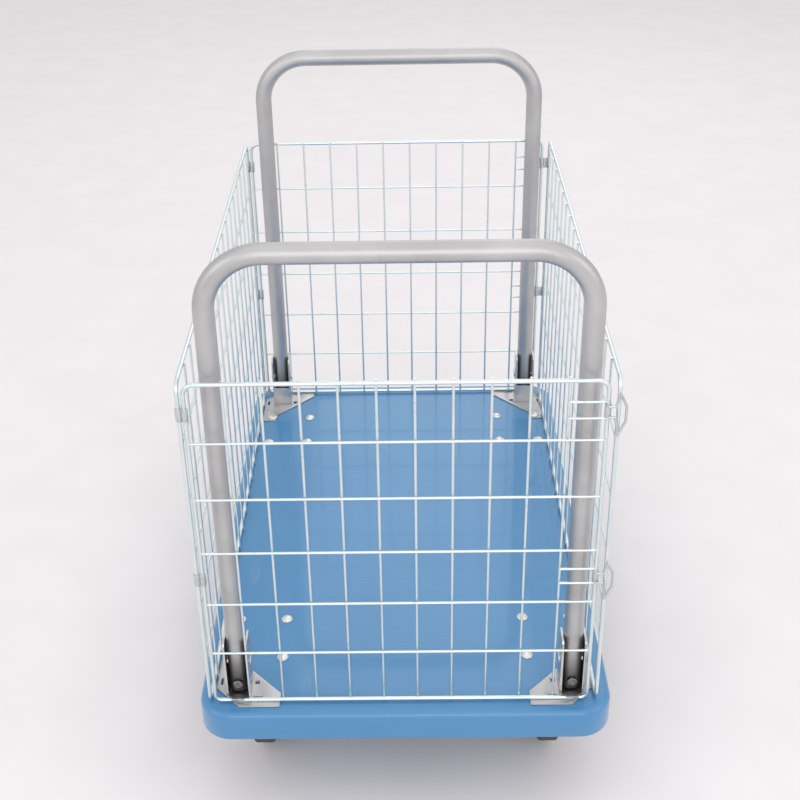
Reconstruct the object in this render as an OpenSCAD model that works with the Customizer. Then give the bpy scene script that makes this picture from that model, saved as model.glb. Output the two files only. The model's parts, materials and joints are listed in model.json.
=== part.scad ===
// Platform cart with a pressed steel deck, two fold-down tube handles and a wire cage.
// Origin: on the floor under the middle of the deck. +X is across, +Y is along, +Z is up.

/* [Deck] */
// Width of the deck across the cart
deck_w = 615; // [590:1:760]
// Length of the deck
deck_l = 915; // [800:1:1200]
// Depth of the turned-down skirt
skirt_h = 50; // [35:1:60]
// Sheet thickness of the deck
deck_t = 2; // [1.5:0.1:3]
// Corner radius of the deck in plan
deck_corner_r = 48; // [30:1:55]
// Radius where the top turns into the skirt
deck_edge_r = 9; // [6:0.5:14]

/* [Underframe] */
// Sheet thickness of the cross members
member_t = 3; // [2:0.5:5]
// Depth of a cross member's flanges
member_h = 26; // [15:1:32]
// Width of a cross member, along the cart
member_w = 160; // [150:1:200]
// Width of the centre stiffener
stiffener_w = 120; // [80:1:160]

/* [Casters] */
// Wheel diameter
wheel_d = 150; // [120:1:165]
// Wheel width
wheel_w = 32; // [24:1:38]
// Height from the floor to the top of the caster plate
caster_h = 190; // [188:1:220]
// Distance from the middle of the cart to a caster's middle, across
caster_x = 227; // [200:1:232]
// Distance from the middle of the cart to a caster's middle, along
caster_y = 295; // [230:1:300]
// How far a swivel wheel trails behind its king pin
trail = 38; // [25:1:45]
// Bolt spacing of a caster plate, across the cart
bolt_dx = 75; // [60:1:80]
// Bolt spacing of a caster plate, along the cart
bolt_dy = 85; // [70:1:95]
// Shank diameter of the caster bolts
bolt_d = 10; // [8:0.5:12]
// Head diameter of the caster bolts
bolt_head_d = 18; // [14:0.5:20]

/* [Handles] */
// Outer diameter of the handle tube
tube_d = 28.6; // [25:0.1:30]
// Wall of the handle tube
tube_t = 2; // [1.2:0.1:3]
// Distance between the two legs of a handle
leg_gap = 496; // [496:0.5:498]
// Height of the handle's top bar above the deck
handle_h = 729; // [550:1:900]
// Radius of the handle's two bends
handle_bend_r = 80; // [50:1:110]
// Height of the handle's pivot above the deck
pivot_h = 60; // [59:1:70]
// Diameter of the pivot pins
pivot_d = 10; // [8:0.5:12]
// How far the leg reaches below its pivot
foot_l = 48.5; // [40:0.5:48.5]

/* [Handle brackets] */
// Height of the bracket's ears above the deck
ear_h = 106; // [90:1:130]
// Sheet thickness of the bracket
ear_t = 3.2; // [2:0.1:4]
// Depth of the ears along the cart
ear_l = 36; // [30:1:44]
// Height of the bracket's rear stop above the deck
stop_h = 40; // [20:1:43]
// Thickness of the zinc corner plates
plate_t = 2.3; // [1.5:0.1:2.5]

/* [Cage] */
// Distance between the end panels' corner wires
cage_w = 550; // [530:1:600]
// Distance between the two end panels
cage_l = 861; // [760:1:1140]
// Height of the panels, wire to wire
cage_h = 550; // [350:1:700]
// How far the cage stands off centre, towards -X
cage_shift = 6; // [4:0.5:8]
// Diameter of the frame wire
frame_d = 6; // [4:0.1:7]
// Diameter of the grid wire
grid_d = 3.6; // [2.5:0.1:4]
// Columns in an end panel
end_cols = 11; // [8:1:14]
// Columns in a side panel
side_cols = 17; // [12:1:22]
// Rows in every panel
rows = 6; // [4:1:8]
// Radius of the frame wire's upper corners
frame_bend_r = 16; // [10:1:24]
// Radius of the frame wire's lower corners
frame_foot_r = 9.5; // [6:0.5:9.5]
// Distance from an end panel's corner wire to the fixed side panel
panel_gap = 8; // [7.8:0.1:12]
// Distance from an end panel's corner wire to the gate
gate_gap = 14; // [11:0.5:16]
// Height of a hinge, clip or latch knuckle
knuckle_h = 20; // [14:1:21]
// Drop from the top wire to the middle of the upper knuckles
knuckle_drop = 45; // [40:1:50]

/* [Fits] */
// Radial running clearance of the pins, axles and knuckles
fit = 0.05; // [0.02:0.01:0.1]
// Free gap beside moving pieces
side_play = 0.7; // [0.5:0.1:1]

/* [Hidden] */
$fn = 48;

eps = 0.01;

// deck
member_z = caster_h;
under_z = member_z + member_t;
top_z = under_z + deck_t;
plate_z = top_z + plate_t;

// casters
wheel_r = wheel_d / 2;
axle_d = 12;
axle_z = wheel_r;
fork_t = 4;
fork_in = wheel_w / 2 + 3;
fork_out = fork_in + fork_t;
mount_t = 5;
mount_w = bolt_dx + 26;
mount_l = bolt_dy + 28;
crown_z = member_z - mount_t - 18;
swivel_play = 0.3;
race_d = 46;
race_h = 8;
king_d = 12;
hub_d = 44;
tread_t = 17;
member_l = deck_w - 2 * deck_edge_r - 26;
nut_h = 8;
nut_d = 17;

// handles
tube_r = tube_d / 2;
leg_x = leg_gap / 2;
leg_y = cage_l / 2 - 25.5;
pivot_z = top_z + pivot_h;
foot_z = pivot_z - foot_l;
bar_z = top_z + handle_h;
ear_in = tube_r + side_play;
ear_out = ear_in + ear_t;
stop_y = tube_r + side_play;
screw_h = 17;
screw_d = 8;
screw_head_d = 14;
screw_head_h = 4;
base_t = 3;
hook_w = 19;
hook_t = 2.2;
hook_play = 0.3;

// corner plates
plate_end_y = cage_l / 2 + 11.5;
plate_side_x = leg_x + 36;
plate_in_x = leg_x - 62;
plate_in_y = caster_y + bolt_dy / 2 - 12;
plate_arm = 27;
plate_cut = 38;
stud_d = 6;
stud_xy = [[plate_in_x + 14, plate_end_y - plate_arm / 2], [plate_side_x - plate_arm / 2, leg_y - 40]];

// cage
frame_r = frame_d / 2;
grid_r = grid_d / 2;
weld = 0.4;
grid_off = frame_r + grid_r - weld;
cage_z = plate_z + frame_r;
cage_cx = -cage_shift;
end_y = cage_l / 2;
right_x = cage_cx + cage_w / 2;
left_x = cage_cx - cage_w / 2;
gate_x = right_x + gate_gap;
panel_x = left_x - panel_gap;
row_h = cage_h / rows;
upper_z = cage_z + cage_h - knuckle_drop;
lower_z = cage_z + row_h * 3 - knuckle_drop;
pair_gap = knuckle_h / 2 + grid_r + 0.8;
knuckle_t = 1.4;
gate_clear = 0.5;
latch_wire_r = 1.8;
latch_up = 26;
latch_down = 36;
// Extra radius where the latch wire is bent, as cold bending leaves it
bend_swell = 0.08;
// How far the latch wire's parts stand off the gate's upright: its root, its peak and its grip
latch_root = 5;
latch_peak = 1;
latch_grip = 9;
latch_drop = 6;
// Thread past each caster nut, and the low heads' height
bolt_end = 2;
bolt_head_h = 4.5;
stud_nut_d = 10;
stud_nut_h = 6;
hole_play = 1;
// Forks: the round about the axle, the half widths at the top, the crown and the king pin's head
cheek_r = 20;
fixed_half_top = 36;
swivel_half_top = 24;
crown_d = 70;
king_head_d = 24;
king_head_h = 5;
race_lip = 8;
// Wheels: tyre shoulder, rim, web, the holes in the web, and the axle's nuts
shoulder_r = 5;
rim_t = 6;
rim_step = 1;
web_t = 8;
web_hole_d = 14;
web_hole_step = 60;
hub_shake = 0.7;
axle_nut_d = 20;
axle_nut_h = 7;
axle_end = 8;

// Parts that repeat at the corners take their side: sx = -1 is left, 1 right; sy = -1 is near, 1 far.

module at(x, y, z) { translate([x, y, z]) children(); }

// ---------------------------------------------------------------- deck

// Cross-section of the deck's edge, with x measured outwards from the bend's centre.
module edge_profile(run) {
    translate([0, -skirt_h + deck_edge_r])
        translate([deck_edge_r - deck_t, 0]) square([deck_t, skirt_h - deck_edge_r]);
    intersection() {
        difference() {
            circle(r = deck_edge_r);
            circle(r = deck_edge_r - deck_t);
        }
        square([deck_edge_r + 1, deck_edge_r + 1]);
    }
    translate([-run, deck_edge_r - deck_t]) square([run + eps, deck_t]);
}

module deck() {
    run = deck_corner_r - deck_edge_r;
    x0 = deck_w / 2 - deck_corner_r;
    y0 = deck_l / 2 - deck_corner_r;
    z0 = top_z - deck_edge_r;
    color([0.39, 0.60, 0.80]) difference() {
        union() {
            at(-x0, -y0, top_z - deck_t) cube([2 * x0, 2 * y0, deck_t]);
            for (sx = [-1, 1], sy = [-1, 1])
                translate([sx * x0, sy * y0, z0])
                    rotate([0, 0, atan2(sy, sx) - 45])
                        rotate_extrude(angle = 90)
                            translate([run, 0]) edge_profile(run);
            for (s = [0, 180]) rotate([0, 0, s]) {
                translate([x0 + run, y0, z0]) rotate([90, 0, 0])
                    linear_extrude(2 * y0) edge_profile(run);
                translate([-x0, y0 + run, z0]) rotate([90, 0, 90])
                    linear_extrude(2 * x0) edge_profile(run);
            }
        }
        caster_bolt_holes(bolt_d + 1);
        stud_holes(stud_d + 1);
        for (sx = [-1, 1], sy = [-1, 1]) scale_to(sx, sy) plate_slots();
    }
}

// Calls its children at each caster bolt.
module at_caster_bolts() {
    for (sx = [-1, 1], sy = [-1, 1], bx = [-1, 1], by = [-1, 1])
        translate([sx * caster_x + bx * bolt_dx / 2, sy * caster_y + by * bolt_dy / 2, 0])
            children();
}

module caster_bolt_holes(d) {
    at_caster_bolts() at(0, 0, member_z - mount_t - 1)
        cylinder(d = d, h = mount_t + member_t + deck_t + plate_t + 2);
}

module at_studs() {
    for (sx = [-1, 1], sy = [-1, 1], p = stud_xy) translate([sx * p[0], sy * p[1], 0]) children();
}

module stud_holes(d) {
    at_studs() at(0, 0, under_z - member_t - 1) cylinder(d = d, h = deck_t + member_t + 2);
}

// A channel across the deck, flanges down, that the casters are bolted to.
module cross_member(sy) {
    color([0.25, 0.42, 0.66]) difference() {
        at(-member_l / 2, sy * caster_y - member_w / 2, 0) {
            at(0, 0, member_z) cube([member_l, member_w, member_t]);
            for (y = [0, member_w - member_t])
                at(0, y, member_z + member_t - member_h) cube([member_l, member_t, member_h]);
        }
        caster_bolt_holes(bolt_d + 1);
        stud_holes(stud_d + 1);
    }
}

// A channel along the middle, between the cross members.
module centre_stiffener() {
    l = 2 * caster_y - member_w - 0.6;
    color([0.25, 0.42, 0.66]) at(-stiffener_w / 2, -l / 2, 0) {
        at(0, 0, member_z) cube([stiffener_w, l, member_t]);
        for (x = [0, stiffener_w - member_t])
            at(x, 0, member_z + member_t - member_h) cube([member_t, l, member_h]);
    }
}

// ---------------------------------------------------------------- corner plates

function plate_outline() = let (
    x0 = plate_in_x, x1 = plate_side_x, y0 = plate_in_y, y1 = plate_end_y, a = plate_arm
) [
    [x0, y1], [x0, y1 - a], [x1 - a, y1 - a - (x1 - a - x0)], [x1 - a, y0],
    [x1, y0], [x1, y1 - plate_cut], [x1 - plate_cut, y1]
];

module corner_plate(sx, sy) {
    color([0.74, 0.76, 0.76]) difference() {
        union() {
            at(0, 0, top_z) scale_to(sx, sy) linear_extrude(plate_t) polygon(plate_outline());
            intersection() {
                at_studs() at(0, 0, under_z - member_t - nut_h - 1)
                    cylinder(d = stud_d, h = top_z - under_z + member_t + nut_h + 1 + eps);
                at(sx > 0 ? 0 : -deck_w, sy > 0 ? 0 : -deck_l, 0) cube([deck_w, deck_l, top_z + 1]);
            }
        }
        caster_bolt_holes(bolt_d + 1);
        scale_to(sx, sy) plate_slots();
    }
}

// The plate's three slots, which go on through the deck.
module plate_slots() {
    low = top_z - deck_t - 1;
    h = deck_t + plate_t + 2;
    at(leg_x - ear_out - 10, leg_y - 16, low) cube([7, 7, h]);
    at(leg_x - ear_out - 17, end_y - 9, low) cube([14, 4, h]);
    at(plate_side_x - 9, leg_y - 22, low) cube([4, 14, h]);
}

// Mirrors its children into the corner on side sx, sy.
module scale_to(sx, sy) {
    mirror([sx < 0 ? 1 : 0, 0, 0]) mirror([0, sy < 0 ? 1 : 0, 0]) children();
}

// ---------------------------------------------------------------- handle brackets

// A clevis: base, two ears, a low rear stop and a tongue that hooks the end panel's bottom wire.
module bracket(sx, sy) {
    back = -stop_y - ear_t;
    front = ear_l / 2;
    hook_in = end_y - leg_y - frame_r - hook_play;
    hook_out = end_y - leg_y + frame_r + hook_play;
    hook_z = 2 * frame_r + hook_play;
    color([0.72, 0.73, 0.74]) scale_to(sx, sy) translate([leg_x, leg_y, plate_z]) {
        linear_extrude(base_t) polygon([
            [-ear_out, back], [ear_out, back], [ear_out, front],
            [hook_w / 2, hook_in], [-hook_w / 2, hook_in], [-ear_out, front]
        ]);
        at(-ear_out, back, 0) cube([2 * ear_out, ear_t, stop_h - plate_t]);
        for (s = [-1, 1]) at(s * (ear_in + ear_t / 2), 0, 0) rotate([90, 0, 90])
            linear_extrude(ear_t, center = true) ear_side(back, front, ear_h - plate_t);
        translate([-hook_w / 2, 0, 0]) rotate([90, 0, 90]) linear_extrude(hook_w) polygon([
            [hook_in - hook_t, 0], [hook_in, 0], [hook_in, hook_z], [hook_out, hook_z],
            [hook_out, hook_z - 2], [hook_out + hook_t, hook_z - 2],
            [hook_out + hook_t, hook_z + hook_t], [hook_in - hook_t, hook_z + hook_t]
        ]);
    }
}

// Outline of one ear from y0 to y1, h high, with rounded top corners and the pivot's hole.
module ear_side(y0, y1, h) {
    r = 8;
    difference() {
        union() {
            translate([y0, 0]) square([y1 - y0, h - r]);
            translate([y0 + r, 0]) square([y1 - y0 - 2 * r, h]);
            translate([y0 + r, h - r]) circle(r = r);
            translate([y1 - r, h - r]) circle(r = r);
        }
        translate([0, pivot_h - plate_t]) circle(d = pivot_d);
    }
}

// ---------------------------------------------------------------- handles

// The sweep of a circle of radius r along the U of a handle.
module handle_bar(r, over) {
    x0 = leg_x - handle_bend_r;
    z0 = bar_z - handle_bend_r;
    for (s = [-1, 1]) {
        at(s * leg_x, 0, foot_z - over) cylinder(r = r, h = z0 - foot_z + over);
        at(s * x0, 0, z0) rotate([90, 0, 0]) rotate([0, 0, s > 0 ? 0 : 90])
            rotate_extrude(angle = 90) translate([handle_bend_r, 0]) circle(r = r);
    }
    at(-x0, 0, bar_z) rotate([0, 90, 0]) cylinder(r = r, h = 2 * x0);
}

module handle(sy) {
    color([0.78, 0.77, 0.78]) at(0, sy * leg_y, 0) difference() {
        handle_bar(tube_r, 0);
        handle_bar(tube_r - tube_t, 1);
        for (s = [-1, 1]) {
            at(s * leg_x - tube_r - 1, 0, pivot_z) rotate([0, 90, 0])
                cylinder(r = pivot_d / 2 + fit, h = tube_d + 2);
            at(s * leg_x, 0, foot_z + screw_h) rotate([-90 * sy, 0, 0]) cylinder(d = screw_d, h = tube_r + 1);
        }
    }
}

// Two headed pins, one through each pair of ears.
module pivot_pins(sy) {
    color([0.70, 0.71, 0.72]) for (s = [-1, 1])
        at(s * leg_x, sy * leg_y, pivot_z) rotate([0, 90, 0]) {
            cylinder(d = pivot_d, h = 2 * ear_out, center = true);
            for (e = [-1, 1]) at(0, 0, e * (ear_out + 1.25))
                cylinder(d = pivot_d + 6, h = 2.5, center = true);
        }
}

// Plastic plugs that close the legs' open feet and take the foot screws.
module foot_plugs(sy) {
    r = tube_r - tube_t;
    color([0.12, 0.12, 0.13]) for (s = [-1, 1]) difference() {
        at(s * leg_x, sy * leg_y, 0) {
            at(0, 0, foot_z) cylinder(r = r, h = pivot_z - pivot_d - foot_z);
            at(0, 0, foot_z - 1.5) cylinder(r = tube_r - 1, h = 1.5);
        }
        at(s * leg_x, sy * leg_y, foot_z + screw_h) rotate([-90 * sy, 0, 0])
            cylinder(d = screw_d, h = tube_r + 1);
    }
}

module foot_screws(sy) {
    color([0.80, 0.80, 0.80]) for (s = [-1, 1])
        at(s * leg_x, sy * leg_y, foot_z + screw_h) rotate([-90 * sy, 0, 0]) {
            cylinder(d = screw_d, h = tube_r);
            difference() {
                at(0, 0, tube_r - 2) cylinder(d = screw_head_d, h = 2 + screw_head_h);
                rotate([90, 0, 0]) cylinder(r = tube_r, h = screw_head_d + 2, center = true);
            }
        }
}

// ---------------------------------------------------------------- cage

// A closed frame of round wire, w wide and h high, in the XZ plane, its lower left corner at 0.
module wire_frame(w, h) {
    for (x = [0, w]) at(x, 0, frame_foot_r) cylinder(r = frame_r, h = h - frame_bend_r - frame_foot_r);
    frame_rung(w, 0, frame_foot_r, -1);
    frame_rung(w, h, frame_bend_r, 1);
}

// The wire across a frame at height z, with a bend of radius r at each end that turns towards the middle.
module frame_rung(w, z, r, up) {
    at(r, 0, z) rotate([0, 90, 0]) cylinder(r = frame_r, h = w - 2 * r);
    for (s = [0, 1]) at(s == 0 ? r : w - r, 0, z - up * r)
        rotate([90, 0, 0]) rotate([0, 0, up > 0 ? 90 - 90 * s : 180 + 90 * s])
            rotate_extrude(angle = 90) translate([r, 0]) circle(r = frame_r);
}

// Grid wires inside a frame: uprights on the side given by side, rows in the frame's own plane.
module wire_grid(w, h, cols, side) {
    for (i = [1 : cols - 1]) at(i * w / cols, side * grid_off, -frame_r)
        cylinder(r = grid_r, h = h + 2 * frame_r);
    for (j = [1 : rows - 1]) at(0, 0, j * h / rows) rotate([0, 90, 0]) cylinder(r = grid_r, h = w);
}

// An end panel, with two pairs of short wires in its last column that carry the gate's fittings.
module end_panel(sy) {
    color([0.86, 0.88, 0.87]) at(left_x, sy * end_y, cage_z) {
        wire_frame(cage_w, cage_h);
        wire_grid(cage_w, cage_h, end_cols, -sy);
        for (z = [upper_z, lower_z], s = [-1, 1])
            at(cage_w - cage_w / end_cols, 0, z - cage_z + s * pair_gap) rotate([0, 90, 0])
                cylinder(r = grid_r, h = cage_w / end_cols);
    }
}

module long_panel(x, side, lift) {
    color([0.86, 0.88, 0.87]) at(x, -end_y, cage_z + lift) rotate([0, 0, 90]) {
        wire_frame(cage_l, cage_h);
        wire_grid(cage_l, cage_h, side_cols, side);
    }
}

// A sheet strap wound round two parallel upright wires that stand gap apart along X.
module strap(gap) {
    difference() {
        union() {
            for (x = [0, gap]) at(x, 0, 0)
                cylinder(r = frame_r + fit + knuckle_t, h = knuckle_h, center = true);
            at(gap / 2, 0, 0) cube([gap, knuckle_t * 2, knuckle_h], center = true);
        }
        for (x = [0, gap]) at(x, 0, 0) cylinder(r = frame_r + fit, h = knuckle_h + 2, center = true);
    }
}

// Four straps that hold the fixed side panel to the end panels.
module panel_clips() {
    color([0.62, 0.66, 0.66]) for (sy = [-1, 1], z = [upper_z, lower_z])
        at(left_x, sy * end_y, z) mirror([1, 0, 0]) strap(panel_gap);
}

// Two straps on the gate's upright that turn on the far end panel's corner wire.
module gate_hinges() {
    color([0.62, 0.66, 0.66]) for (z = [upper_z, lower_z])
        at(right_x, end_y, z) strap(gate_gap);
}

// A round wire along points [x, z] in the XZ plane, with a ball at each bend.
module bent_wire(points, r) {
    for (i = [0 : len(points) - 2]) {
        p = points[i];
        d = points[i + 1] - p;
        at(p[0], 0, p[1]) rotate([0, atan2(d[0], d[1]), 0]) cylinder(r = r, h = norm(d));
        if (i > 0) at(p[0], 0, p[1]) sphere(r = r + bend_swell);
    }
}

// A knuckle that turns on the near corner wire, with a loop of bent wire that laps over the gate's upright.
module latch(z) {
    lap_y = -(frame_r + latch_wire_r + gate_clear);
    grip_x = gate_gap + latch_grip;
    root_z = knuckle_h / 2 - latch_wire_r;
    color([0.60, 0.63, 0.63]) at(right_x, -end_y, z) difference() {
        union() {
            cylinder(r = frame_r + knuckle_t, h = knuckle_h, center = true);
            at(0, lap_y, 0) bent_wire([
                [0, root_z], [gate_gap - latch_root, root_z],
                [gate_gap + latch_peak, latch_up], [grip_x, root_z],
                [grip_x, -root_z - latch_drop], [gate_gap, -latch_down],
                [gate_gap - latch_root, -root_z], [0, -root_z]
            ], latch_wire_r);
        }
        cylinder(r = frame_r + fit, h = knuckle_h + 2, center = true);
    }
}

// ---------------------------------------------------------------- fasteners

// Zinc bolts with low round heads; those over a corner plate sit that much higher.
module caster_bolts() {
    color([0.80, 0.82, 0.83]) for (sx = [-1, 1], sy = [-1, 1], bx = [-1, 1], by = [-1, 1]) {
        seat = bx > 0 && by > 0 ? plate_z : top_z;
        foot = member_z - mount_t - nut_h - bolt_end;
        at(sx * (caster_x + bx * bolt_dx / 2), sy * (caster_y + by * bolt_dy / 2), 0) {
            at(0, 0, foot) cylinder(d = bolt_d, h = seat - foot);
            at(0, 0, seat) round_head(bolt_head_d, bolt_head_h);
        }
    }
}

// A low domed head: a sphere cap on a short rim.
module round_head(d, h) {
    rim = 1.2;
    cap = h - rim;
    ball = (d * d / 4 + cap * cap) / (2 * cap);
    cylinder(d = d, h = rim);
    intersection() {
        at(0, 0, rim + cap - ball) sphere(r = ball);
        at(0, 0, rim - eps) cylinder(d = d, h = cap + 1);
    }
}

module caster_nuts() {
    color([0.72, 0.74, 0.75]) at_caster_bolts() at(0, 0, member_z - mount_t - nut_h)
        difference() {
            cylinder(d = nut_d / cos(30), h = nut_h, $fn = 6);
            at(0, 0, -1) cylinder(d = bolt_d, h = nut_h + 2);
        }
}

// Nuts on the corner plates' studs; the outer ones sit under the cross members.
module plate_nuts() {
    color([0.72, 0.74, 0.75]) for (sx = [-1, 1], sy = [-1, 1], i = [0, 1])
        translate([sx * stud_xy[i][0], sy * stud_xy[i][1], (i == 0 ? under_z : member_z) - stud_nut_h])
            difference() {
                cylinder(d = stud_nut_d / cos(30), h = stud_nut_h, $fn = 6);
                at(0, 0, -1) cylinder(d = stud_d, h = stud_nut_h + 2);
            }
}

// ---------------------------------------------------------------- casters

// A flat plate with four bolt holes, its middle at the origin and its top at z = 0.
module mount_plate(hole) {
    difference() {
        at(0, 0, -mount_t / 2) cube([mount_w, mount_l, mount_t], center = true);
        for (bx = [-1, 1], by = [-1, 1]) at(bx * bolt_dx / 2, by * bolt_dy / 2, -mount_t - 1)
            cylinder(d = bolt_d + hole_play, h = mount_t + 2);
        if (hole > 0) at(0, 0, -mount_t - 1) cylinder(d = hole, h = mount_t + 2);
    }
}

// One cheek of a fork in the YZ plane: wide at the top, round about the axle, z = 0 at its top.
module fork_cheek(drop, shift, half_top) {
    rotate([90, 0, 90]) linear_extrude(fork_t, center = true) difference() {
        union() {
            translate([shift, -drop]) circle(r = cheek_r);
            polygon([[-half_top, 0], [half_top, 0], [shift + cheek_r, -drop], [shift - cheek_r, -drop]]);
        }
        translate([shift, -drop]) circle(d = axle_d);
    }
}

module fixed_fork(sx) {
    drop = member_z - mount_t - axle_z;
    color([0.55, 0.57, 0.58]) at(sx * caster_x, -caster_y, member_z) {
        mount_plate(0);
        at(0, 0, -mount_t) for (s = [-1, 1]) at(s * (fork_in + fork_t / 2), 0, 0)
            fork_cheek(drop, 0, fixed_half_top);
    }
}

module swivel_plate(sx) {
    color([0.60, 0.62, 0.63]) at(sx * caster_x, caster_y, member_z) {
        mount_plate(king_d);
        at(0, 0, -mount_t - race_h) difference() {
            cylinder(d = race_d + 2 * race_lip, h = race_h);
            at(0, 0, -1) cylinder(d = race_d + 2 * side_play, h = race_h + 1);
        }
    }
}

module swivel_fork(sx) {
    drop = crown_z - axle_z;
    color([0.55, 0.57, 0.58]) at(sx * caster_x, caster_y, 0) {
        difference() {
            union() {
                at(0, 0, crown_z) cylinder(d = race_d, h = member_z - mount_t - swivel_play - crown_z);
                at(0, 0, crown_z) cylinder(d = crown_d, h = fork_t);
            }
            at(0, 0, crown_z - 1) cylinder(r = king_d / 2 + fit, h = 40);
        }
        at(0, 0, crown_z) for (s = [-1, 1]) at(s * (fork_in + fork_t / 2), 0, 0)
            fork_cheek(drop, -trail, swivel_half_top);
    }
}

// King pin: riveted into the mount plate, with a head under the fork.
module king_pin(sx) {
    head_z = crown_z - swivel_play;
    color([0.72, 0.74, 0.75]) at(sx * caster_x, caster_y, 0) {
        at(0, 0, head_z) cylinder(d = king_d, h = member_z - head_z);
        at(0, 0, head_z - king_head_h) cylinder(d = king_head_d, h = king_head_h);
    }
}

function wheel_y(sy) = sy < 0 ? -caster_y : caster_y - trail;

module wheel_at(sx, sy) {
    translate([sx * caster_x, wheel_y(sy), axle_z]) rotate([0, 90, 0]) children();
}

module tyre(sx, sy) {
    color([0.33, 0.34, 0.36]) wheel_at(sx, sy) rotate_extrude($fn = 96) {
        translate([wheel_r - tread_t, -wheel_w / 2]) square([tread_t - shoulder_r, wheel_w]);
        translate([wheel_r - shoulder_r - eps, -wheel_w / 2 + shoulder_r])
            square([shoulder_r + eps, wheel_w - 2 * shoulder_r]);
        for (s = [-1, 1]) translate([wheel_r - shoulder_r, s * (wheel_w / 2 - shoulder_r)])
            circle(r = shoulder_r);
    }
}

module hub(sx, sy) {
    rim_r = wheel_r - tread_t;
    color([0.62, 0.63, 0.64]) wheel_at(sx, sy) difference() {
        union() {
            rotate_extrude() translate([rim_r - rim_t, -wheel_w / 2 + rim_step])
                square([rim_t, wheel_w - 2 * rim_step]);
            cylinder(r = rim_r - rim_t / 2, h = web_t, center = true);
            cylinder(d = hub_d, h = 2 * (fork_in - hub_shake), center = true);
        }
        cylinder(r = axle_d / 2 + fit, h = wheel_w + 20, center = true);
        for (a = [0 : web_hole_step : 359]) rotate([0, 0, a]) at((hub_d / 2 + rim_r - rim_t) / 2, 0, 0)
            cylinder(d = web_hole_d, h = web_t * 2, center = true);
    }
}

module axle(sx, sy) {
    color([0.78, 0.80, 0.80]) wheel_at(sx, sy) {
        cylinder(d = axle_d, h = 2 * (fork_out + axle_end), center = true);
        for (s = [-1, 1]) at(0, 0, s * (fork_out + axle_nut_h / 2))
            cylinder(d = axle_nut_d, h = axle_nut_h, center = true, $fn = 6);
    }
}

deck();
cross_member(-1);  // cross_member_near
cross_member(1);  // cross_member_far
centre_stiffener();
corner_plate(-1, -1);  // corner_plate_nl
corner_plate(1, -1);  // corner_plate_nr
corner_plate(-1, 1);  // corner_plate_fl
corner_plate(1, 1);  // corner_plate_fr
bracket(-1, -1);  // bracket_nl
bracket(1, -1);  // bracket_nr
bracket(-1, 1);  // bracket_fl
bracket(1, 1);  // bracket_fr
handle(-1);  // handle_near
handle(1);  // handle_far
pivot_pins(-1);  // pivot_pins_near
pivot_pins(1);  // pivot_pins_far
foot_plugs(-1);  // foot_plugs_near
foot_plugs(1);  // foot_plugs_far
foot_screws(-1);  // foot_screws_near
foot_screws(1);  // foot_screws_far
end_panel(-1);  // end_panel_near
end_panel(1);  // end_panel_far
long_panel(panel_x, -1, 0);  // side_panel
long_panel(gate_x, 1, gate_clear);  // gate_panel
panel_clips();
gate_hinges();
latch(upper_z);  // latch_upper
latch(lower_z);  // latch_lower
caster_bolts();
caster_nuts();
plate_nuts();
fixed_fork(-1);  // fixed_fork_l
fixed_fork(1);  // fixed_fork_r
swivel_plate(-1);  // swivel_plate_l
swivel_plate(1);  // swivel_plate_r
swivel_fork(-1);  // swivel_fork_l
swivel_fork(1);  // swivel_fork_r
king_pin(-1);  // king_pin_l
king_pin(1);  // king_pin_r
tyre(-1, -1);  // tyre_nl
tyre(1, -1);  // tyre_nr
tyre(-1, 1);  // tyre_fl
tyre(1, 1);  // tyre_fr
hub(-1, -1);  // hub_nl
hub(1, -1);  // hub_nr
hub(-1, 1);  // hub_fl
hub(1, 1);  // hub_fr
axle(-1, -1);  // axle_nl
axle(1, -1);  // axle_nr
axle(-1, 1);  // axle_fl
axle(1, 1);  // axle_fr
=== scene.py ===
import json
import math

import bpy
from mathutils import Matrix, Vector

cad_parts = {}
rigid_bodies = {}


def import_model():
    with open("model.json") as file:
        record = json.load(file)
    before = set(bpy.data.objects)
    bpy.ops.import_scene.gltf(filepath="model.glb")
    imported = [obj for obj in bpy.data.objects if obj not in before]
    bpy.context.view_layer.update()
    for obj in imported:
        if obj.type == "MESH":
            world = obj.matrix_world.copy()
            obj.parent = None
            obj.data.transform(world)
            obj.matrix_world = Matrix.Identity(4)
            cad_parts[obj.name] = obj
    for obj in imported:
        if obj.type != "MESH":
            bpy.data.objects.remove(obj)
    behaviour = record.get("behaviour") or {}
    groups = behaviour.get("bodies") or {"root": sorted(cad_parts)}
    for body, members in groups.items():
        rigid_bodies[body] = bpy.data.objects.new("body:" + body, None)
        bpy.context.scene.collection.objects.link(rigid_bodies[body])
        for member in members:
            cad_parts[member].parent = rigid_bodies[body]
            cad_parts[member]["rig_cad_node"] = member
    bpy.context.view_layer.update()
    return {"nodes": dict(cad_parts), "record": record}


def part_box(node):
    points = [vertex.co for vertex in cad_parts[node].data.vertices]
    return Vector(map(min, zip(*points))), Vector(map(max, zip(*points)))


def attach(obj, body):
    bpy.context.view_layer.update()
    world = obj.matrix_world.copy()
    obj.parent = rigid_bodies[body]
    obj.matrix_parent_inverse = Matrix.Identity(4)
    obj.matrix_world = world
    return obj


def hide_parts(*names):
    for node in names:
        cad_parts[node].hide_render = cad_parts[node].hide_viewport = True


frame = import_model()

# ---------------------------------------------------------------- underframe
# Two folded channels across the cart and one along its middle, pressed from 3 mm sheet and dipped
# in the same blue as the deck, a shade darker. The caster bolts clamp the channels up under the deck.


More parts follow.
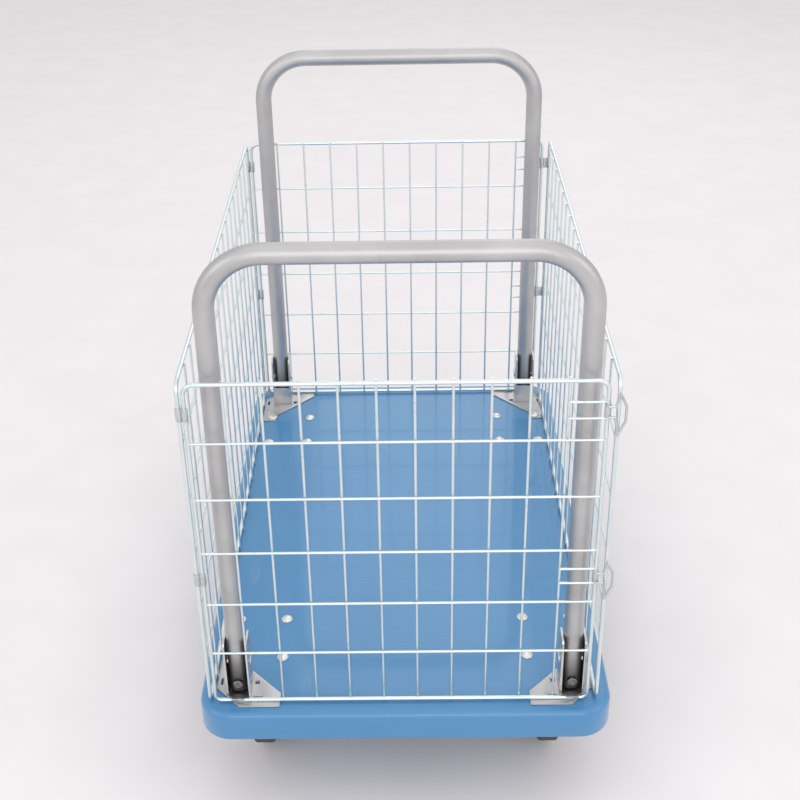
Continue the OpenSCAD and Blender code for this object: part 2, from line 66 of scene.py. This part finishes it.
class Signal:
    """A value inside a finish. Adding or multiplying signals adds the Math nodes that do it."""

    def __init__(self, finish, socket):
        self.finish, self.socket = finish, socket

    def maths(self, operation, first, second):
        return self.finish.node("Math", {"operation": operation}, {0: first, 1: second})

    def __add__(self, other):
        return self.maths("ADD", self, other)

    __radd__ = __add__

    def __sub__(self, other):
        return self.maths("SUBTRACT", self, other)

    def __rsub__(self, other):
        return self.maths("SUBTRACT", other, self)

    def __mul__(self, other):
        return self.maths("MULTIPLY", self, other)

    __rmul__ = __mul__

    def __gt__(self, other):
        return self.maths("GREATER_THAN", self, other)

    def __lt__(self, other):
        return self.maths("LESS_THAN", self, other)


class Finish:
    """A material in the making, on the coordinates of the piece itself."""

    def __init__(self, name, **constants):
        self.material = bpy.data.materials.new(name)
        self.material.use_nodes = True
        self.tree = self.material.node_tree
        self.shader = self.tree.nodes["Principled BSDF"]
        for socket, value in constants.items():
            self.shader.inputs[socket.replace("_", " ")].default_value = value
        self.place = self.node("TexCoord", out="Object")

    def node(self, kind, settings=None, sockets=None, out=0):
        made = self.tree.nodes.new("ShaderNode" + kind)
        for key, value in (settings or {}).items():
            if key == "stops":
                ramp = made.color_ramp.elements
                while len(ramp) < len(value):
                    ramp.new(0.5)
                for stop, (position, colour) in zip(ramp, value):
                    stop.position, stop.color = position, colour
            else:
                setattr(made, key, value)
        for key, value in (sockets or {}).items():
            if isinstance(value, Signal):
                self.tree.links.new(value.socket, made.inputs[key])
            else:
                made.inputs[key].default_value = value
        return Signal(self, made.outputs[out])

    def noise(self, scale, detail=4.0, stretch=(1, 1, 1), distortion=0.0):
        place = self.place
        if stretch != (1, 1, 1):
            place = self.node("Mapping", {}, {"Vector": place, "Scale": stretch})
        return self.node("TexNoise", {}, {
            "Vector": place, "Scale": scale, "Detail": detail, "Distortion": distortion})

    def step(self, signal, low, high):
        """0 below low, 1 above high, smooth in between."""
        return self.node("MapRange", {"interpolation_type": "SMOOTHSTEP"}, {
            "Value": signal, "From Min": low, "From Max": high})

    def blend(self, share, first, second):
        """A colour between two, by share."""
        return self.node("Mix", {"data_type": "RGBA"}, {0: share, 6: first, 7: second}, out=2)

    def up(self):
        """1 where the surface looks up, 0 elsewhere."""
        normal = self.node("NewGeometry", out="Normal")
        return self.step(self.node("SeparateXYZ", {}, {0: normal}, out="Z"), 0.9, 0.98)

    def feed(self, socket, signal):
        self.tree.links.new(signal.socket, self.shader.inputs[socket])

    def bump(self, height, distance, strength=1.0):
        self.feed("Normal", self.node("Bump", {}, {
            "Height": height, "Distance": distance, "Strength": strength}))

    def on(self, *pieces):
        for piece in pieces:
            piece.data.materials.clear()
            piece.data.materials.append(self.material)


def colour(red, green, blue):
    return (red, green, blue, 1.0)


def only(*pieces):
    """Selects these pieces and nothing else."""
    bpy.ops.object.select_all(action="DESELECT")
    for piece in pieces:
        piece.select_set(True)
    bpy.context.view_layer.objects.active = pieces[0]


def broken_edges(node, radius, segments=2, angle=30, smooth=35):
    """The part's own shape as a new piece, with its sharp edges broken by a small radius."""
    only(frame["nodes"][node])
    bpy.ops.object.duplicate()
    piece = bpy.context.object
    piece.name = node + ".made"
    piece.data.name = piece.name
    del piece["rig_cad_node"]
    bpy.ops.object.mode_set(mode="EDIT")
    bpy.ops.mesh.select_all(action="SELECT")
    bpy.ops.mesh.remove_doubles(threshold=0.00001)
    bpy.ops.mesh.dissolve_limited(angle_limit=math.radians(1.5))
    bpy.ops.object.mode_set(mode="OBJECT")
    if radius:
        edge = piece.modifiers.new("edge", "BEVEL")
        edge.width, edge.segments, edge.limit_method = radius, segments, "ANGLE"
        edge.angle_limit = math.radians(angle)
        edge.use_clamp_overlap = True
        edge.harden_normals = False
        bpy.ops.object.modifier_apply(modifier="edge")
    bpy.ops.object.shade_smooth_by_angle(angle=math.radians(smooth))
    return piece


def body_of(node):
    return next(b for b, nodes in frame["record"]["behaviour"]["bodies"].items() if node in nodes)


def stands_for(piece, node):
    """Rides the piece where its part rides, in the part's place."""
    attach(piece, body_of(node))
    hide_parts(node)
    return piece


dip = Finish("underframe_blue", Metallic=0.0, Coat_Weight=0.15, Coat_Roughness=0.25)
wash = dip.step(dip.noise(9.0, 5.0), 0.3, 0.7)
grime = dip.step(dip.noise(42.0, 8.0), 0.55, 0.78)
dip.feed("Base Color", dip.blend(grime * 0.35, dip.blend(
    wash, colour(0.050, 0.155, 0.340), colour(0.062, 0.180, 0.385)), colour(0.16, 0.17, 0.18)))
dip.feed("Roughness", 0.38 + grime * 0.25)
dip.bump(dip.noise(850.0, 2.0), 0.0002, 0.35)
for node in ("cross_member_near", "cross_member_far", "centre_stiffener"):
    channel = stands_for(broken_edges(node, 0.0022, 3), node)
    dip.on(channel)

# ---------------------------------------------------------------- deck
# One sheet of steel pressed into a tray: wide corners, a soft top edge and a straight skirt whose foot
# is turned in. The light blue finish is fine-ribbed across the top, so that a load doesn't slide.

low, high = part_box("deck")
corner_radius, edge_radius, sheet, turn_in = 0.048, 0.009, 0.002, 0.010
bpy.ops.object.select_all(action="DESELECT")
bpy.ops.mesh.primitive_cube_add(size=1, location=(low + high) / 2)
deck = bpy.context.object
deck.name = "deck.made"
deck.scale = high - low
bpy.ops.object.transform_apply(location=True, rotation=False, scale=True)


def edges_where(piece, test):
    """Selects the edges of a piece whose two ends pass the test; leaves edit mode off."""
    bpy.ops.object.mode_set(mode="EDIT")
    bpy.ops.mesh.select_mode(type="EDGE")
    bpy.ops.mesh.select_all(action="DESELECT")
    bpy.ops.object.mode_set(mode="OBJECT")
    for edge in piece.data.edges:
        first, second = (piece.data.vertices[v].co for v in edge.vertices)
        edge.select = test(first, second)


def faces_where(piece, test):
    """Selects the faces of a piece that pass the test; leaves edit mode off."""
    bpy.ops.object.mode_set(mode="EDIT")
    bpy.ops.mesh.select_mode(type="FACE")
    bpy.ops.mesh.select_all(action="DESELECT")
    bpy.ops.object.mode_set(mode="OBJECT")
    for face in piece.data.polygons:
        face.select = test(face)


edges_where(deck, lambda a, b: abs(a.z - b.z) > 0.01)
bpy.ops.object.mode_set(mode="EDIT")
bpy.ops.mesh.bevel(offset=corner_radius, offset_type="OFFSET", segments=14, profile=0.5)
bpy.ops.object.mode_set(mode="OBJECT")
edges_where(deck, lambda a, b: min(a.z, b.z) > high.z - 1e-5)
bpy.ops.object.mode_set(mode="EDIT")
bpy.ops.mesh.bevel(offset=edge_radius, offset_type="OFFSET", segments=7, profile=0.5)
bpy.ops.object.mode_set(mode="OBJECT")
faces_where(deck, lambda f: f.normal.z < -0.9)
bpy.ops.object.mode_set(mode="EDIT")
bpy.ops.mesh.inset(thickness=turn_in)
bpy.ops.mesh.delete(type="FACE")
bpy.ops.object.mode_set(mode="OBJECT")
edges_where(deck, lambda a, b: max(a.z, b.z) < low.z + 1e-5 and all(
    abs(abs(p.x) - high.x) < 1e-5 or abs(abs(p.y) - high.y) < 1e-5 or
    math.hypot(abs(p.x) - high.x + corner_radius, abs(p.y) - high.y + corner_radius)
    > corner_radius - 1e-4 and abs(p.x) > high.x - corner_radius and abs(p.y) > high.y - corner_radius
    for p in (a, b)))
bpy.ops.object.mode_set(mode="EDIT")
bpy.ops.mesh.bevel(offset=0.004, offset_type="OFFSET", segments=4, profile=0.5)
bpy.ops.mesh.select_all(action="SELECT")
bpy.ops.mesh.normals_make_consistent(inside=False)
bpy.ops.object.mode_set(mode="OBJECT")
wall = deck.modifiers.new("wall", "SOLIDIFY")
wall.thickness, wall.offset = sheet, -1
bpy.ops.object.modifier_apply(modifier="wall")
# Short slots go through the sheet at each corner, under those of the corner plates.
for width, length, x, y in (
    (0.007, 0.007, 0.2233, 0.3925),
    (0.014, 0.004, 0.2198, 0.4235),
    (0.004, 0.014, 0.2770, 0.3900),
):
    for side, end in ((-1, -1), (1, -1), (-1, 1), (1, 1)):
        bpy.ops.object.select_all(action="DESELECT")
        bpy.ops.mesh.primitive_cube_add(size=1, location=(side * x, end * y, high.z))
        punch = bpy.context.object
        punch.scale = (width, length, 0.012)
        cut = deck.modifiers.new("slot", "BOOLEAN")
        cut.operation, cut.object, cut.solver = "DIFFERENCE", punch, "EXACT"
        only(deck)
        bpy.ops.object.modifier_apply(modifier="slot")
        bpy.data.objects.remove(punch)
only(deck)
bpy.ops.object.shade_smooth_by_angle(angle=math.radians(35))
stands_for(deck, "deck")

blue = Finish("deck_blue", Metallic=0.0, Coat_Weight=0.55, Coat_Roughness=0.07)
north = blue.node("SeparateXYZ", {}, {0: blue.place}, out="Y")
ribs = blue.node("Math", {"operation": "SINE"}, {0: north * (2 * math.pi / 0.007)})
tone = blue.step(blue.noise(5.0, 4.0), 0.3, 0.7)
speck = blue.step(blue.noise(520.0, 3.0), 0.62, 0.74)
scuff = blue.step(blue.noise(26.0, 9.0, (1, 0.25, 1), 0.6), 0.66, 0.78) * blue.up()
skin = blue.blend(tone, colour(0.052, 0.222, 0.452), colour(0.062, 0.240, 0.476))
skin = blue.blend(speck * 0.18, skin, colour(0.044, 0.188, 0.395))
blue.feed("Base Color", blue.blend(scuff * 0.22, skin, colour(0.27, 0.40, 0.57)))
blue.feed("Roughness", 0.34 + tone * 0.05 + scuff * 0.16 + speck * 0.05)
blue.bump(ribs * blue.up() * 0.42 + blue.noise(700.0, 2.0) * 0.3, 0.00022, 0.55)
blue.on(deck)

# ---------------------------------------------------------------- corner plates
# L-shaped plates of zinc plated sheet, their outer corner cut off and their inner edge straight across,
# punched with short slots. Studs under them are drawn up through the deck by nuts.

zinc_sheet = Finish("zinc_sheet", Metallic=1.0)
cloud = zinc_sheet.step(zinc_sheet.noise(34.0, 5.0), 0.3, 0.72)
rolled = zinc_sheet.noise(160.0, 6.0, (1, 9, 1))
stain = zinc_sheet.step(zinc_sheet.noise(75.0, 8.0), 0.60, 0.75)
zinc_sheet.feed("Base Color", zinc_sheet.blend(stain * 0.4, zinc_sheet.blend(
    cloud, colour(0.48, 0.48, 0.50), colour(0.57, 0.56, 0.56)), colour(0.34, 0.33, 0.32)))
zinc_sheet.feed("Roughness", 0.30 + cloud * 0.10 + rolled * 0.12 + stain * 0.10)
zinc_sheet.bump(rolled, 0.00008, 0.5)
for node in ("corner_plate_nl", "corner_plate_nr", "corner_plate_fl", "corner_plate_fr"):
    plate = stands_for(broken_edges(node, 0.0005), node)
    zinc_sheet.on(plate)

# ---------------------------------------------------------------- handle brackets
# A clevis bent from 3 mm plate for each leg: two ears, a low stop behind and a tongue that hooks down the
# end panel. A headed steel pin is riveted through each pair of ears. The ear faces that look at the leg carry
# painted shade, near black.

bright = Finish("bright_bracket", Metallic=1.0)
drawn = bright.noise(210.0, 6.0, (1, 1, 0.12))
patch = bright.step(bright.noise(55.0, 6.0), 0.35, 0.7)
rub = bright.step(bright.noise(120.0, 8.0, (1, 1, 0.3)), 0.62, 0.74)
bright.feed("Base Color", bright.blend(rub * 0.5, bright.blend(
    patch, colour(0.60, 0.61, 0.61), colour(0.70, 0.69, 0.66)), colour(0.36, 0.35, 0.34)))
bright.feed("Roughness", 0.26 + drawn * 0.16 + rub * 0.14)
bright.bump(drawn, 0.0001, 0.5)
# Painted shade: a near-black finish with a faint mottle, for the clevis faces that look at the leg.
inside_shade = Finish("painted_shade_inside", Metallic=0.35, Coat_Weight=0.2, Coat_Roughness=0.35)
painted_shade_share = inside_shade.step(inside_shade.noise(90.0, 7.0, (1, 1, 0.3)), 0.35, 0.75)
inside_shade.feed("Base Color", inside_shade.blend(painted_shade_share, colour(0.022, 0.020, 0.018), colour(0.085, 0.078, 0.068)))
inside_shade.feed("Roughness", 0.34 + painted_shade_share * 0.25)
inside_shade.bump(inside_shade.noise(240.0, 5.0), 0.0001, 0.5)
for node in ("bracket_nl", "bracket_nr", "bracket_fl", "bracket_fr"):
    bracket = stands_for(broken_edges(node, 0.0009, 3), node)
    bright.on(bracket)
    # Painted shade: the ear faces that look at the leg, above the base, take the near-black finish.
    bracket.data.materials.append(inside_shade.material)
    leg = (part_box("handle_near")[1].x - 0.0143) * (1 if node[-1] == "r" else -1)
    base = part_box(node)[0].z + 0.006
    for face in bracket.data.polygons:
        away = face.center.x - leg
        facing = abs(face.normal.x) > 0.8 and face.normal.x * away < 0
        if facing and abs(away) < 0.017 and face.center.z > base:
            face.material_index = 1
for node in ("pivot_pins_near", "pivot_pins_far"):
    bright.on(stands_for(broken_edges(node, 0.0007, 3), node))

# ---------------------------------------------------------------- handles
# Each handle is one length of round steel tube bent to a wide U and painted satin silver. Black plastic
# plugs close its feet, held by a round-headed screw whose colour is painted dark as shade. Each foot is painted
# darker towards the bottom: painted shade from the bracket.

silver = Finish("tube_silver", Metallic=0.85, Coat_Weight=0.06, Coat_Roughness=0.35)
grain = silver.noise(480.0, 4.0)
haze = silver.step(silver.noise(14.0, 5.0), 0.3, 0.75)
wear = silver.step(silver.noise(65.0, 9.0, (1, 1, 0.4)), 0.66, 0.78)
tall = silver.node("SeparateXYZ", {}, {0: silver.place}, out="Z")
# Painted shade: the colour goes near black towards the foot of each leg, where the bracket shades it.
painted_shade_share = (1.0 - silver.step(tall + haze * 0.012, 0.222, 0.305)) * 0.86
coating = silver.blend(wear * 0.35, silver.blend(
    haze, colour(0.46, 0.455, 0.46), colour(0.54, 0.535, 0.535)), colour(0.28, 0.275, 0.27))
silver.feed("Base Color", silver.blend(painted_shade_share, coating, colour(0.050, 0.045, 0.040)))
silver.feed("Roughness", 0.38 + haze * 0.06 + grain * 0.08 + painted_shade_share * 0.1)
silver.bump(grain, 0.00008, 0.4)
silver.on(frame["nodes"]["handle_near"], frame["nodes"]["handle_far"])

plastic = Finish("black_plug", Metallic=0.0)
moulded = plastic.noise(900.0, 3.0)
dust = plastic.step(plastic.noise(60.0, 7.0), 0.5, 0.8)
plastic.feed("Base Color", plastic.blend(dust * 0.3, colour(0.018, 0.018, 0.020), colour(0.10, 0.10, 0.10)))
plastic.feed("Roughness", 0.42 + dust * 0.2)
plastic.bump(moulded, 0.0001, 0.6)
for node in ("foot_plugs_near", "foot_plugs_far"):
    plastic.on(stands_for(broken_edges(node, 0.0005), node))

fastener = Finish("zinc_fastener", Metallic=1.0)
tint = fastener.step(fastener.noise(150.0, 4.0), 0.35, 0.7)
turned = fastener.noise(700.0, 4.0)
fastener.feed("Base Color", fastener.blend(tint, colour(0.72, 0.74, 0.75), colour(0.82, 0.81, 0.77)))
fastener.feed("Roughness", 0.22 + turned * 0.18)
fastener.bump(turned, 0.00006, 0.5)
# Painted shade: the foot screws sit inside the clevis, so their colour is painted dark.
shaded_screw = Finish("painted_shade_screw", Metallic=1.0)
screw_shade_patch = shaded_screw.step(shaded_screw.noise(420.0, 5.0), 0.4, 0.66)
shaded_screw.feed("Base Color", shaded_screw.blend(screw_shade_patch, colour(0.30, 0.29, 0.27), colour(0.12, 0.11, 0.10)))
shaded_screw.feed("Roughness", 0.28 + screw_shade_patch * 0.2)
shaded_screw.bump(shaded_screw.noise(700.0, 4.0), 0.00006, 0.5)
for node in ("foot_screws_near", "foot_screws_far"):
    shaded_screw.on(stands_for(broken_edges(node, 0.0006, 3), node))

# ---------------------------------------------------------------- cage panels
# Each panel is a frame of 6 mm wire bent round at the corners, with 3.6 mm uprights welded to its inner
# side and rows of the same wire between them. The whole panel is bright zinc plated after welding.

wire = Finish("zinc_wire", Metallic=1.0)
sheen = wire.step(wire.noise(24.0, 4.0), 0.3, 0.7)
drawing = wire.noise(420.0, 5.0)
dull = wire.step(wire.noise(95.0, 7.0), 0.60, 0.76)
wire.feed("Base Color", wire.blend(dull * 0.35, wire.blend(
    sheen, colour(0.68, 0.79, 0.81), colour(0.77, 0.82, 0.81)), colour(0.42, 0.44, 0.43)))
wire.feed("Roughness", 0.24 + drawing * 0.14 + dull * 0.12)
wire.bump(drawing, 0.00005, 0.5)
for node in ("end_panel_near", "end_panel_far", "side_panel", "gate_panel"):
    wire.on(frame["nodes"][node])

# ---------------------------------------------------------------- clips, hinges and latches
# Straps of zinc plated spring steel. Four clamp the fixed side panel to the corner wires, two carry the
# gate, and two latches of bent wire turn on the near corner wire and lap over the gate's upright.

spring = Finish("spring_steel", Metallic=1.0)
brushed = spring.noise(260.0, 6.0, (1, 1, 4))
blot = spring.step(spring.noise(110.0, 6.0), 0.45, 0.72)
spring.feed("Base Color", spring.blend(blot * 0.5, colour(0.60, 0.63, 0.63), colour(0.42, 0.42, 0.40)))
spring.feed("Roughness", 0.26 + brushed * 0.2)
spring.bump(brushed, 0.00008, 0.5)
for node in ("panel_clips", "gate_hinges", "latch_upper", "latch_lower"):
    spring.on(stands_for(broken_edges(node, 0.0003), node))

# ---------------------------------------------------------------- bolts and nuts
# Sixteen round-headed bolts come down through the deck and the channels into the caster plates, with a
# hexagon nut under each. Smaller nuts draw down the corner plates' studs.

for node, radius in (("caster_bolts", 0.0003), ("caster_nuts", 0.0006), ("plate_nuts", 0.0004)):
    fastener.on(stands_for(broken_edges(node, radius), node))

# ---------------------------------------------------------------- casters
# Pressed and plated forks: the near pair is rigid, the far pair turns on a king pin. The wheels have a
# grey pressed centre and a thick ribbed tyre of dark rubber, on a bolt with a hexagon at each end.

pressed = Finish("caster_steel", Metallic=1.0)
plating = pressed.step(pressed.noise(30.0, 5.0), 0.3, 0.7)
smear = pressed.step(pressed.noise(85.0, 8.0, (1, 1, 0.5)), 0.58, 0.76)
rollings = pressed.noise(190.0, 5.0, (1, 6, 1))
pressed.feed("Base Color", pressed.blend(smear * 0.45, pressed.blend(
    plating, colour(0.54, 0.56, 0.57), colour(0.62, 0.61, 0.57)), colour(0.32, 0.31, 0.29)))
pressed.feed("Roughness", 0.30 + rollings * 0.14 + smear * 0.12)
pressed.bump(rollings, 0.0001, 0.4)
for node in ("fixed_fork_l", "fixed_fork_r", "swivel_plate_l", "swivel_plate_r", "swivel_fork_l", "swivel_fork_r"):
    pressed.on(stands_for(broken_edges(node, 0.0009, 3), node))
for node in ("king_pin_l", "king_pin_r"):
    fastener.on(stands_for(broken_edges(node, 0.0008, 3), node))
for node in ("axle_nl", "axle_nr", "axle_fl", "axle_fr"):
    fastener.on(stands_for(broken_edges(node, 0.0006), node))

rubber = Finish("tyre_rubber", Metallic=0.0)
bloom = rubber.step(rubber.noise(38.0, 7.0), 0.4, 0.75)
pores = rubber.noise(650.0, 3.0)
across = rubber.node("SeparateXYZ", {}, {0: rubber.place}, out="X")
tread = rubber.step(rubber.node("Math", {"operation": "SINE"}, {0: across * (2 * math.pi / 0.0075)}), 0.55, 0.9)
rubber.feed("Base Color", rubber.blend(bloom * 0.5, colour(0.055, 0.053, 0.052), colour(0.12, 0.115, 0.11)))
rubber.feed("Roughness", 0.62 + bloom * 0.15)
rubber.bump(pores * 0.2 - tread, 0.0008, 0.7)
centre = Finish("wheel_centre", Metallic=0.1, Coat_Weight=0.1, Coat_Roughness=0.3)
coat = centre.step(centre.noise(22.0, 5.0), 0.3, 0.7)
dirt = centre.step(centre.noise(70.0, 8.0), 0.55, 0.78)
centre.feed("Base Color", centre.blend(dirt * 0.45, centre.blend(
    coat, colour(0.40, 0.41, 0.42), colour(0.46, 0.47, 0.48)), colour(0.15, 0.14, 0.13)))
centre.feed("Roughness", 0.40 + dirt * 0.25)
centre.bump(centre.noise(600.0, 2.0), 0.00015, 0.5)
for corner in ("nl", "nr", "fl", "fr"):
    rubber.on(stands_for(broken_edges("tyre_" + corner, 0), "tyre_" + corner))
    centre.on(stands_for(broken_edges("hub_" + corner, 0.0008), "hub_" + corner))

# ---------------------------------------------------------------- studio
# A wide floor of pale warm card runs out behind the cart, under broad soft lights and an even sky.

bpy.ops.object.select_all(action="DESELECT")
bpy.ops.mesh.primitive_plane_add(size=40, location=(0, 8, 0))
floor = bpy.context.object
floor.name = "studio_floor"
card = Finish("studio_card", Metallic=0.0, Roughness=0.85)
fibre = card.noise(7.0, 5.0)
card.feed("Base Color", card.blend(card.step(fibre, 0.3, 0.7), colour(0.80, 0.775, 0.785), colour(0.82, 0.80, 0.81)))
card.on(floor)

world = bpy.data.worlds.new("studio_air")
bpy.context.scene.world = world
world.use_nodes = True
world.node_tree.nodes["Background"].inputs["Color"].default_value = (1.0, 0.985, 0.985, 1.0)
world.node_tree.nodes["Background"].inputs["Strength"].default_value = 0.85
for name, place, aim, size, power in (
    ("softbox_top", (0.4, -0.2, 3.6), (0, 0, 0.2), 4.2, 22),
    ("softbox_left", (-2.8, -2.0, 2.2), (0, 0, 0.5), 1.8, 15),
    ("softbox_right", (2.6, -1.4, 1.8), (0, 0, 0.5), 1.4, 9),
    ("softbox_back", (0.5, 3.2, 2.6), (0, 0, 0.6), 2.0, 12),
    ("softbox_front", (0.2, -4.4, 2.2), (0, -0.4, 0.05), 3.0, 46),
):
    lamp = bpy.data.lights.new(name, "AREA")
    lamp.size, lamp.energy = size, power
    stand = bpy.data.objects.new(name, lamp)
    bpy.context.scene.collection.objects.link(stand)
    stand.location = place
    stand.rotation_euler = (Vector(aim) - Vector(place)).to_track_quat("-Z", "Y").to_euler()

eye = bpy.data.cameras.new("eye")
camera = bpy.data.objects.new("eye", eye)
bpy.context.scene.collection.objects.link(camera)
yaw, pitch, roll = (math.radians(angle) for angle in (-0.922, 27.931, -1.151))
forward = Vector((math.sin(yaw) * math.cos(pitch), math.cos(yaw) * math.cos(pitch), -math.sin(pitch)))
level = Vector((math.cos(yaw), -math.sin(yaw), 0))
upright = level.cross(forward)
right = math.cos(roll) * level + math.sin(roll) * upright
top = -math.sin(roll) * level + math.cos(roll) * upright
camera.matrix_world = Matrix((
    (right.x, top.x, -forward.x, 0.0103),
    (right.y, top.y, -forward.y, -1.8053),
    (right.z, top.z, -forward.z, 1.5994),
    (0, 0, 0, 1)))
eye.sensor_width, eye.lens = 36, 56.62
eye.shift_x, eye.shift_y = 0.01375, -0.125
eye.clip_start, eye.clip_end = 0.01, 50
bpy.context.scene.camera = camera
bpy.context.scene.view_settings.view_transform = "Standard"
